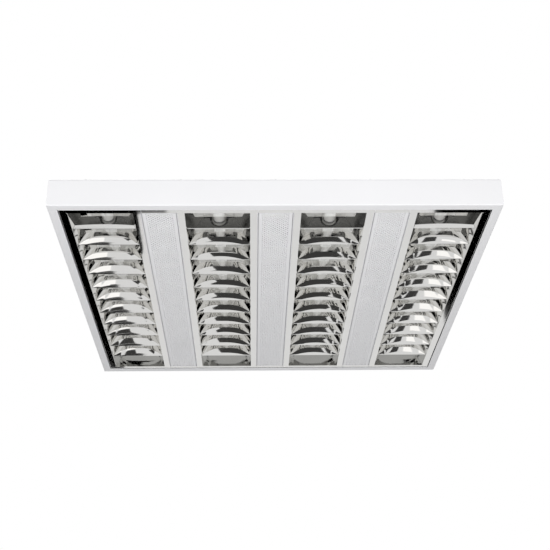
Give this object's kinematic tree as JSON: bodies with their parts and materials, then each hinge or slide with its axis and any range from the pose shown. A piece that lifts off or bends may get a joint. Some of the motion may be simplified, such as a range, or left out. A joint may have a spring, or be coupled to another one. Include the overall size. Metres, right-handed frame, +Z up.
{
  "type": "recessed troffer light",
  "caption": "Square recessed ceiling light with a white steel rim, mirror louvres in strips over slim tubes, perforated panels between them and control gear on its roof.",
  "frame": {"origin": "centre of the visible bottom face of the rim, which lies on the ceiling grid", "axes": "+Z up into the ceiling void, +Y along the tubes towards the cable entry and the louvre's hinge, +X across the tubes"},
  "size_m": [0.597, 0.597, 0.076],
  "materials": {
    "white_steel": "white powder coat, satin",
    "mirror_aluminium": "specular anodised, mirror bright",
    "perforated_steel": "light grey coat, finely perforated",
    "lamp_glass": "white fluorescent coating inside clear glass",
    "cap_metal": "satin",
    "holder_plastic": "white moulded",
    "zinc_plate": "bright zinc plated",
    "spring_steel": "rolled",
    "gear_case": "white coat",
    "terminal_plastic": "moulded",
    "grommet_rubber": "moulded",
    "brass": "turned",
    "wire_pvc": "extruded"
  },
  "bodies": {
    "housing": {"rim_front": "white_steel", "rim_back": "white_steel", "rim_left": "white_steel", "rim_right": "white_steel", "body_pan": "white_steel", "gear_cover": "white_steel", "body_rivets": "zinc_plate", "bracket_pivots": "zinc_plate", "hinge_brackets": "zinc_plate", "gear_cover_screws": "zinc_plate", "ballast_screws": "zinc_plate", "cable_entry_plate": "zinc_plate", "lampholder_rails": "zinc_plate", "top_reflector_1": "mirror_aluminium", "top_reflector_2": "mirror_aluminium", "top_reflector_3": "mirror_aluminium", "top_reflector_4": "mirror_aluminium", "louvre_spring_clips": "spring_steel", "cable_grommet": "grommet_rubber", "ballast_1": "gear_case", "ballast_2": "gear_case", "terminal_block": "terminal_plastic", "earth_terminal": "brass", "mains_wiring": "wire_pvc", "lamp_wiring": "wire_pvc", "lampholders_front": "holder_plastic", "lampholders_back": "holder_plastic", "reflector_posts": "holder_plastic"},
    "louvre": {"louvre_end_rails": "mirror_aluminium", "louvre_side_rails": "mirror_aluminium", "end_plates_front": "mirror_aluminium", "end_plates_back": "mirror_aluminium", "louvre_hinge_pins": "zinc_plate", "side_reflectors_1": "mirror_aluminium", "side_reflectors_2": "mirror_aluminium", "side_reflectors_3": "mirror_aluminium", "side_reflectors_4": "mirror_aluminium", "louvre_blades_1": "mirror_aluminium", "louvre_blades_2": "mirror_aluminium", "louvre_blades_3": "mirror_aluminium", "louvre_blades_4": "mirror_aluminium", "infill_panel_1": "perforated_steel", "infill_panel_2": "perforated_steel", "infill_panel_3": "perforated_steel"},
    "lamp_1": {"lamp_tube_1": "lamp_glass", "lamp_caps_1": "cap_metal", "holder_rotors_1": "holder_plastic"},
    "lamp_2": {"lamp_tube_2": "lamp_glass", "lamp_caps_2": "cap_metal", "holder_rotors_2": "holder_plastic"},
    "lamp_3": {"lamp_tube_3": "lamp_glass", "lamp_caps_3": "cap_metal", "holder_rotors_3": "holder_plastic"},
    "lamp_4": {"lamp_tube_4": "lamp_glass", "lamp_caps_4": "cap_metal", "holder_rotors_4": "holder_plastic"},
    "bracket_1": {"ceiling_bracket_1": "zinc_plate"},
    "bracket_2": {"ceiling_bracket_2": "zinc_plate"},
    "bracket_3": {"ceiling_bracket_3": "zinc_plate"},
    "bracket_4": {"ceiling_bracket_4": "zinc_plate"}
  },
  "joints": [
    {"name": "louvre_hinge", "type": "hinge", "parent": "housing", "child": "louvre", "pos_m": [0, 0.279, 0.006], "axis": [1, 0, 0], "range_deg": [0, 90]},
    {"name": "lamp_1_turn", "type": "hinge", "parent": "housing", "child": "lamp_1", "pos_m": [-0.23145, 0, 0.034], "axis": [0, 1, 0], "range_deg": [0, 90]},
    {"name": "lamp_2_turn", "type": "hinge", "parent": "housing", "child": "lamp_2", "pos_m": [-0.07715, 0, 0.034], "axis": [0, 1, 0], "range_deg": [0, 90]},
    {"name": "lamp_3_turn", "type": "hinge", "parent": "housing", "child": "lamp_3", "pos_m": [0.07715, 0, 0.034], "axis": [0, 1, 0], "range_deg": [0, 90]},
    {"name": "lamp_4_turn", "type": "hinge", "parent": "housing", "child": "lamp_4", "pos_m": [0.23145, 0, 0.034], "axis": [0, 1, 0], "range_deg": [0, 90]},
    {"name": "bracket_1_swing", "type": "hinge", "parent": "housing", "child": "bracket_1", "pos_m": [-0.262, -0.215, 0.0503], "axis": [0, 0, 1], "range_deg": [0, 90]},
    {"name": "bracket_2_swing", "type": "hinge", "parent": "housing", "child": "bracket_2", "pos_m": [-0.262, 0.215, 0.0503], "axis": [0, 0, -1], "range_deg": [0, 90]},
    {"name": "bracket_3_swing", "type": "hinge", "parent": "housing", "child": "bracket_3", "pos_m": [0.262, -0.215, 0.0503], "axis": [0, 0, -1], "range_deg": [0, 90]},
    {"name": "bracket_4_swing", "type": "hinge", "parent": "housing", "child": "bracket_4", "pos_m": [0.262, 0.215, 0.0503], "axis": [0, 0, 1], "range_deg": [0, 90]}
  ]
}
